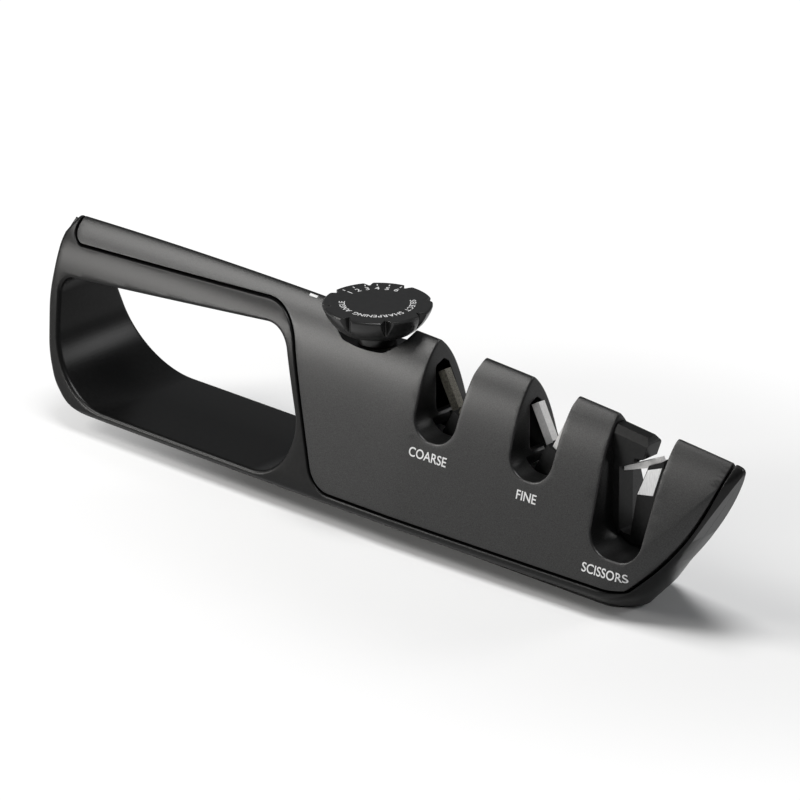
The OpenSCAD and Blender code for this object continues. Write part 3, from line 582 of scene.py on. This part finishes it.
# Scissors insert with its hood, its slab and its foot, in shares of the third slot's width and depth
INSERT_X0 = SHEARS_X - SHEARS_W / 2 + TURN_GAP
HOOD = [(0, -0.1), (0, 0.95), (0.6, 0.92), (0.68, 0.88), (0.58, 0.74), (0.4, 0.73), (0.38, 0.68),
        (0.12, 0.62), (0.12, -0.1)]
SLAB = [(0.28, -0.1), (0.3, 0.05), (0.43, 0.415), (0.66, 0.7), (0.9, 0.76), (1.0, 0.8), (1.07, 0.955),
        (1.3, 0.955), (1.3, -0.1)]
FOOT = [(-0.1, -0.1), (-0.1, 0.17), (0.16, 0.07), (1.2, 0.07), (1.2, -0.1)]
PLATE = [(0.44, 0.43), (0.64, 0.66), (0.91, 0.715), (0.74, 0.46)]
HOOD_W, SLAB_W, INSERT_R = 5.6, 4, 0.25
PLATE_POCKET_W, PLATE_POCKET_Y = 1.25, -1.425
BAR_FOOT, BAR_LEAN, BAR_L, BAR_H, BAR_W = (0.12, 0.56), math.radians(26), 14.6, 1.4, 1.6
inner = grown(seat, -TURN_GAP)


def at(share):
    return INSERT_X0 + share[0] * SHEARS_W, shears_z + share[1] * SHEARS_DEEP


def insert_part(shares, w):
    corners = [(*at(share), INSERT_R) for share in shares]
    return both(across(rounded(corners, 5), w), across(inner))


def bar(points, w):
    """Outline in the leaning frame of the ceramic bar, extruded across the insert."""
    (x, z), c, s = at(BAR_FOOT), math.cos(BAR_LEAN), math.sin(BAR_LEAN)
    return across([(x + u * c - v * s, z + u * s + v * c) for u, v in points], w)


insert = insert_part(HOOD, HOOD_W)
add(insert, insert_part(SLAB, SLAB_W), insert_part(FOOT, SLAB_W))
both(insert, skin(BASE_Z, SEAM_GAP, 24, 40, 10))
bar_room, bar_side = BAR_L + TURN_GAP, BAR_H + TURN_GAP
cut(insert, bar([(-TURN_GAP, -bar_side), (bar_room, -bar_side), (bar_room, bar_side), (-TURN_GAP, bar_side)],
                BAR_W + 2 * TURN_GAP))
bar_blade = bar([(0, 0.35), (7, -0.35), (BAR_L, -BAR_H), (BAR_L, BAR_H), (0, BAR_H)], BAR_W)
pocket = across(grown([at(share) for share in PLATE], TURN_GAP), PLATE_POCKET_W)
pocket.location.y = PLATE_POCKET_Y * MM
cut(insert, pocket, rod(insert_screw_x, 0, 0, shears_z + 4.5, PILOT_R))
bpy.data.objects.remove(hull)


# Printed marks: plain words, numbers and ticks as thin layers on the surface
LIFT = 0.03
STAGE_SIZE, STAGE_WORDS = 3.5, (("COARSE", 21.6, 27.2), ("FINE", 56.2, 25.4), ("SCISSORS", 85.5, 12.8))
POINTER_X0, POINTER_X1, POINTER_Y, POINTER_W = -32.2, -29.4, -0.8, 0.3
NUMBERS, NUMBER_FROM, NUMBER_STEP, NUMBER_SIZE, NUMBER_R = 6, 178, 15, 2.7, 10.3
TICK_R0, TICK_R1, TICK_W = 12.2, 13.2, 0.3
DIAL_WORDS, WORD_SIZE, WORD_R, WORD_FROM, WORD_SPAN = "SELECT SHARPENING ANGLE", 2.3, 9.5, 55, 199
SPACE, LETTER_GAP = ([(-0.4, 0), (0.4, 0)], []), 0.35


def glyph(text, size):
    """Flat outline of a text round its middle, as points and faces."""
    curve = bpy.data.curves.new("mark", "FONT")
    curve.body, curve.size, curve.align_x, curve.align_y = text, size, "CENTER", "CENTER"
    curve.offset = 0.012 * size
    obj = linked("mark", curve)
    mesh = bpy.data.meshes.new_from_object(obj.evaluated_get(bpy.context.evaluated_depsgraph_get()))
    bpy.data.objects.remove(obj)
    verts = [(v.co.x, v.co.y) for v in mesh.vertices]
    return verts, [list(p.vertices) for p in mesh.polygons]


def layer(name, flats, place):
    """Flat shapes put on a surface by place, as one thin mesh."""
    verts, faces = [], []
    for v, f in flats:
        faces += [[i + len(verts) for i in face] for face in f]
        verts += v
    mesh = bpy.data.meshes.new(name)
    mesh.from_pydata([tuple(np.array(place(p)) * MM) for p in verts], [], faces)
    return linked(name, mesh)


def bar_flat(x0, y0, x1, y1, w, parts):
    """Straight bar of width w, divided along its length."""
    d = np.array([x1 - x0, y1 - y0], float)
    n = np.array([-d[1], d[0]]) / np.linalg.norm(d) * w / 2
    rows = [np.array([x0, y0]) + d * i / parts for i in range(parts + 1)]
    verts = [tuple(p + s * n) for p in rows for s in (1, -1)]
    return verts, [[2 * i, 2 * i + 1, 2 * i + 3, 2 * i + 2] for i in range(parts)]


def moved(flat, x, y, turn=0.0):
    c, s = math.cos(turn), math.sin(turn)
    return [(x + a * c - b * s, y + a * s + b * c) for a, b in flat[0]], flat[1]


def polar(r, a):
    return r * math.cos(a), r * math.sin(a)


def on_flank(p):
    return p[0], -side_w(p[0], p[1]) - LIFT, p[1]


def on_crest(p):
    low, high = ridge(p[0]) - 6, ridge(p[0])
    for _ in range(40):
        mid = (low + high) / 2
        low, high = (mid, high) if half_w(p[0], mid) > abs(p[1]) else (low, mid)
    return p[0], p[1], low + LIFT


def on_dial(p):
    return KNOB_X + p[0], p[1], KNOB_Z + KNOB_H


stage_marks = layer("stage_marks", [moved(glyph(t, STAGE_SIZE), x, z) for t, x, z in STAGE_WORDS], on_flank)
pointer_flats = [bar_flat(POINTER_X0, y, POINTER_X1, y, POINTER_W, 8)
                 for y in (POINTER_Y, POINTER_Y - POINTER_W)]
pointer_mark = layer("pointer_mark", pointer_flats, on_crest)
dial_flats = []
for i in range(NUMBERS):
    a = math.radians(NUMBER_FROM - NUMBER_STEP * i)
    dial_flats.append(moved(glyph(str(i + 1), NUMBER_SIZE), *polar(NUMBER_R, a), a - math.pi / 2))
    dial_flats.append(bar_flat(*polar(TICK_R0, a), *polar(TICK_R1, a), TICK_W, 1))
letters = [SPACE if c == " " else glyph(c, WORD_SIZE) for c in DIAL_WORDS]
widths = [max(u for u, v in points) - min(u for u, v in points) + LETTER_GAP for points, _ in letters]
for i, flat in enumerate(letters):
    a = math.radians(WORD_FROM - WORD_SPAN * (sum(widths[:i]) + widths[i] / 2) / sum(widths))
    dial_flats.append(moved(flat, *polar(WORD_R, a), a - math.pi / 2))
dial_marks = layer("dial_marks", dial_flats, on_dial)


# Procedural finishes
def tree(name):
    """A material with a Principled shader on its output, and what is needed to build on."""
    mat = bpy.data.materials.new(name)
    mat.use_nodes = True
    nodes, links = mat.node_tree.nodes, mat.node_tree.links
    nodes.clear()
    out = nodes.new("ShaderNodeOutputMaterial")
    shader = nodes.new("ShaderNodeBsdfPrincipled")
    links.new(shader.outputs[0], out.inputs[0])
    return mat, nodes, links, shader


def wire(links, *pairs):
    for source, target in pairs:
        links.new(source, target)


def finish(name, dark, light, rough, metal=0.0, spec=0.5, grain=900.0, spots=(0.35, 0.65), bump=0.0,
           bump_scale=2500.0, edge=0.15, stretch=(1, 1, 1), rough_vary=0.06):
    """A finish whose colour runs between two tones over a fine noise, with rounded edges in its normals."""
    mat, nodes, links, shader = tree(name)
    place = nodes.new("ShaderNodeTexCoord")
    scale = nodes.new("ShaderNodeMapping")
    scale.inputs["Scale"].default_value = stretch
    links.new(place.outputs["Object"], scale.inputs[0])
    noise = nodes.new("ShaderNodeTexNoise")
    noise.inputs["Scale"].default_value = grain
    noise.inputs["Detail"].default_value = 3
    links.new(scale.outputs[0], noise.inputs["Vector"])
    ramp = nodes.new("ShaderNodeValToRGB")
    ramp.color_ramp.elements[0].position, ramp.color_ramp.elements[1].position = spots
    ramp.color_ramp.elements[0].color = (*dark, 1)
    ramp.color_ramp.elements[1].color = (*light, 1)
    links.new(noise.outputs["Fac"], ramp.inputs[0])
    links.new(ramp.outputs[0], shader.inputs["Base Color"])
    spread_node = nodes.new("ShaderNodeMapRange")
    spread_node.inputs["To Min"].default_value = rough - rough_vary
    spread_node.inputs["To Max"].default_value = rough + rough_vary
    links.new(noise.outputs["Fac"], spread_node.inputs["Value"])
    links.new(spread_node.outputs[0], shader.inputs["Roughness"])
    shader.inputs["Metallic"].default_value = metal
    shader.inputs["Specular IOR Level"].default_value = spec
    bevel = nodes.new("ShaderNodeBevel")
    bevel.samples = 6
    bevel.inputs["Radius"].default_value = edge * MM
    last = bevel.outputs[0]
    if bump:
        fine = nodes.new("ShaderNodeTexNoise")
        fine.inputs["Scale"].default_value = bump_scale
        fine.inputs["Detail"].default_value = 2
        links.new(scale.outputs[0], fine.inputs["Vector"])
        relief = nodes.new("ShaderNodeBump")
        relief.inputs["Strength"].default_value = bump
        relief.inputs["Distance"].default_value = 0.0001
        links.new(fine.outputs["Fac"], relief.inputs["Height"])
        links.new(last, relief.inputs["Normal"])
        last = relief.outputs[0]
    links.new(last, shader.inputs["Normal"])
    return mat


def grey(v, warm=0.0):
    return v * (1 + warm), v, v * (1 - warm)


# Two tones and a roughness each, then what differs from the usual fine plastic
satin_cover = finish("satin_cover_finish", grey(0.031), grey(0.055), 0.36,
                     metal=0.9, grain=4200, bump=0.12, bump_scale=5200, edge=0.2, spots=(0.3, 0.72))
black_plastic = finish("black_plastic_finish", grey(0.003), grey(0.005), 0.3,
                       spec=0.2, edge=0.25, rough_vary=0.01)
knob_plastic = finish("knob_plastic_finish", grey(0.011), grey(0.014), 0.28,
                      spec=0.36, edge=0.3, rough_vary=0.01)
inner_black = finish("inner_black_finish", grey(0.004), grey(0.007), 0.36,
                     spec=0.2, edge=0.12, rough_vary=0.02)
rubber = finish("rubber_finish", grey(0.012), grey(0.024), 0.8,
                spec=0.3, grain=700, bump=0.3, bump_scale=1500)
steel = finish("steel_finish", grey(0.5), grey(0.66), 0.3, metal=1.0, stretch=(1, 1, 8), bump=0.1)
brass = finish("brass_finish", (0.55, 0.38, 0.15), (0.72, 0.53, 0.24), 0.3, metal=1.0, stretch=(1, 1, 6))
white_plastic = finish("white_plastic_finish", grey(0.62, 0.02), grey(0.74, 0.02), 0.45, grain=600)
coarse_stone = finish("coarse_stone_finish", (0.075, 0.07, 0.055), (0.17, 0.16, 0.13), 0.6,
                      grain=2600, bump=0.6, bump_scale=3000, edge=0.12, spots=(0.38, 0.62))
white_ceramic = finish("white_ceramic_finish", grey(0.72, 0.012), grey(0.82, 0.015), 0.5,
                       grain=1800, bump=0.15)
brushed = finish("brushed_plate_finish", grey(0.74), grey(0.9), 0.42,
                 metal=0.45, grain=700, stretch=(12, 1, 1), bump=0.15, bump_scale=900, edge=0.1)
print_white = finish("print_finish", grey(0.66), grey(0.74), 0.5, grain=500, edge=0.02)

SLOT_FINISH = {"black_plastic": black_plastic, "satin_cover": satin_cover, "knob_plastic": knob_plastic,
               "rubber": rubber, "steel": steel, "brass": brass, "white_plastic": white_plastic,
               "coarse_stone": coarse_stone, "white_ceramic": white_ceramic}
slot_of = {s["node"]: s["material_slot"] for s in frame["record"]["subparts"]}
for node, obj in frame["nodes"].items():
    mat = SLOT_FINISH[slot_of[node]]
    if node == "scissors_plate":
        mat = brushed
    if node == "chassis" or "carrier" in node:
        mat = inner_black
    obj.data.materials.clear()
    obj.data.materials.append(mat)


def dress(obj, name, body, slot, mat, *nodes, angle=24):
    """Names a piece, shades it smooth between its sharp edges and puts it in place of its CAD nodes."""
    obj.name = obj.data.name = name
    obj.data.materials.clear()
    obj.data.materials.append(mat)
    obj.data.polygons.foreach_set("use_smooth", [True] * len(obj.data.polygons))
    obj.data.set_sharp_from_angle(angle=math.radians(angle))
    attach(obj, body)
    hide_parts(*nodes)


dress(moulding, "frame_moulding", "root", "black_plastic", black_plastic, "frame")
dress(shell, "cover_shell", "root", "satin_cover", satin_cover, "top_cover")
dress(knob_body, "knob_body", "dial", "knob_plastic", knob_plastic, "angle_knob", angle=12)
dress(insert, "insert_moulding", "root", "black_plastic", inner_black, "scissors_insert")
dress(bar_blade, "bar_blade", "root", "white_ceramic", white_ceramic, "scissors_bar")
for obj, body, slot in ((stage_marks, "root", "satin_cover"), (pointer_mark, "root", "satin_cover"),
                        (dial_marks, "dial", "knob_plastic")):
    obj.data.materials.append(print_white)
    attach(obj, body)

# Pale floor that runs out into the white of the backdrop
FLOOR, FLOOR_TONE, GLOW = 3, 0.9, 1.05
GLOW_CENTRE, GLOW_STRETCH, GLOW_FROM, GLOW_TO = (-0.028, -0.02, 0), (0.67, 1, 1), 0.06, 0.16
floor_mesh = bpy.data.meshes.new("floor")
floor_mesh.from_pydata([(-FLOOR, -FLOOR, 0), (FLOOR, -FLOOR, 0), (FLOOR, FLOOR, 0), (-FLOOR, FLOOR, 0)], [],
                       [[0, 1, 2, 3]])
floor = linked("floor", floor_mesh)
mat, nodes, links, shader = tree("floor_finish")
shader.inputs["Base Color"].default_value = (*grey(FLOOR_TONE), 1)
shader.inputs["Roughness"].default_value = 0.9
shader.inputs["Specular IOR Level"].default_value = 0.0
out = next(n for n in nodes if n.type == "OUTPUT_MATERIAL")
glow = nodes.new("ShaderNodeEmission")
glow.inputs["Strength"].default_value = GLOW
place = nodes.new("ShaderNodeTexCoord")
shape = nodes.new("ShaderNodeMapping")
shape.inputs["Location"].default_value = GLOW_CENTRE
shape.inputs["Scale"].default_value = GLOW_STRETCH
length = nodes.new("ShaderNodeVectorMath")
length.operation = "LENGTH"
fade = nodes.new("ShaderNodeMapRange")
fade.interpolation_type = "SMOOTHSTEP"
fade.inputs["From Min"].default_value, fade.inputs["From Max"].default_value = GLOW_FROM, GLOW_TO
ray = nodes.new("ShaderNodeLightPath")
seen = nodes.new("ShaderNodeMath")
seen.operation = "MULTIPLY"
mix = nodes.new("ShaderNodeMixShader")
wire(links, (place.outputs["Object"], shape.inputs[0]), (shape.outputs[0], length.inputs[0]),
     (length.outputs["Value"], fade.inputs["Value"]), (fade.outputs[0], seen.inputs[0]),
     (ray.outputs["Is Camera Ray"], seen.inputs[1]), (seen.outputs[0], mix.inputs[0]),
     (shader.outputs[0], mix.inputs[1]), (glow.outputs[0], mix.inputs[2]), (mix.outputs[0], out.inputs[0]))
floor_mesh.materials.append(mat)

# World: white to the camera, a share of that to glossy and transmission rays, dim to everything else
DIM, DIM_COLOUR, GLOSSY_SHARE = 0.06, (0.9, 0.95, 1, 1), 0.12
world = bpy.data.worlds.new("studio")
bpy.context.scene.world = world
world.use_nodes = True
nodes, links = world.node_tree.nodes, world.node_tree.links
nodes.clear()
out = nodes.new("ShaderNodeOutputWorld")
dim, white = (nodes.new("ShaderNodeBackground") for _ in range(2))
mix, ray = nodes.new("ShaderNodeMixShader"), nodes.new("ShaderNodeLightPath")
dim.inputs[0].default_value, dim.inputs[1].default_value = DIM_COLOUR, DIM
white.inputs[0].default_value, white.inputs[1].default_value = (1, 1, 1, 1), 1.0
shown, part, both_rays = (nodes.new("ShaderNodeMath") for _ in range(3))
both_rays.operation, part.operation, shown.operation = "MAXIMUM", "MULTIPLY", "MAXIMUM"
part.inputs[1].default_value = GLOSSY_SHARE
wire(links, (ray.outputs["Is Glossy Ray"], both_rays.inputs[0]),
     (ray.outputs["Is Transmission Ray"], both_rays.inputs[1]), (both_rays.outputs[0], part.inputs[0]),
     (ray.outputs["Is Camera Ray"], shown.inputs[0]), (part.outputs[0], shown.inputs[1]),
     (shown.outputs[0], mix.inputs[0]), (dim.outputs[0], mix.inputs[1]), (white.outputs[0], mix.inputs[2]),
     (mix.outputs[0], out.inputs[0]))


def lamp(name, direction, distance, width, height, power, colour=(1, 1, 1), target=(0, 0, 0.03)):
    """A soft box that looks at the target from a direction, in metres and watts."""
    light = bpy.data.lights.new(name, "AREA")
    light.shape, light.size, light.size_y = "RECTANGLE", width, height
    light.energy, light.color = power, colour
    obj = linked(name, light)
    d = Vector(direction).normalized()
    obj.location = Vector(target) + d * distance
    obj.rotation_mode = "QUATERNION"
    obj.rotation_quaternion = d.to_track_quat("Z", "Y")


lamp("low", (-0.67, -0.70, 0.25), 1.2, 0.26, 0.24, 4.6, (1, 0.985, 0.96))
lamp("soft", (-0.627, -0.439, 0.643), 0.8, 0.3, 0.3, 3.0, (1, 0.99, 0.97), (-0.03, 0, 0.05))
lamp("top", (0.05, 0, 1), 1.5, 0.6, 0.6, 14)
lamp("back", (0.58, 0.7, 0.42), 1.2, 0.35, 0.35, 2.2)
lamp("right", (0.9, 0.1, 0.35), 1.2, 0.5, 0.5, 0.6, (0.95, 0.97, 1))

# Camera fitted to the photograph
AZIMUTH, ELEVATION, DISTANCE, AIM, LENS = math.radians(42.6), math.radians(22.8), 2.42, (0, 0, 0.0337), 405
camera = bpy.data.cameras.new("camera")
camera.lens, camera.sensor_width = LENS, 36
camera.clip_start, camera.clip_end = 0.1, 20
eye = linked("camera", camera)
back = Vector((math.sin(AZIMUTH) * math.cos(ELEVATION), -math.cos(AZIMUTH) * math.cos(ELEVATION),
               math.sin(ELEVATION)))
eye.location = Vector(AIM) + back * DISTANCE
eye.rotation_mode = "QUATERNION"
eye.rotation_quaternion = (-back).to_track_quat("-Z", "Y")
bpy.context.scene.camera = eye
bpy.context.scene.view_settings.view_transform = "Standard"
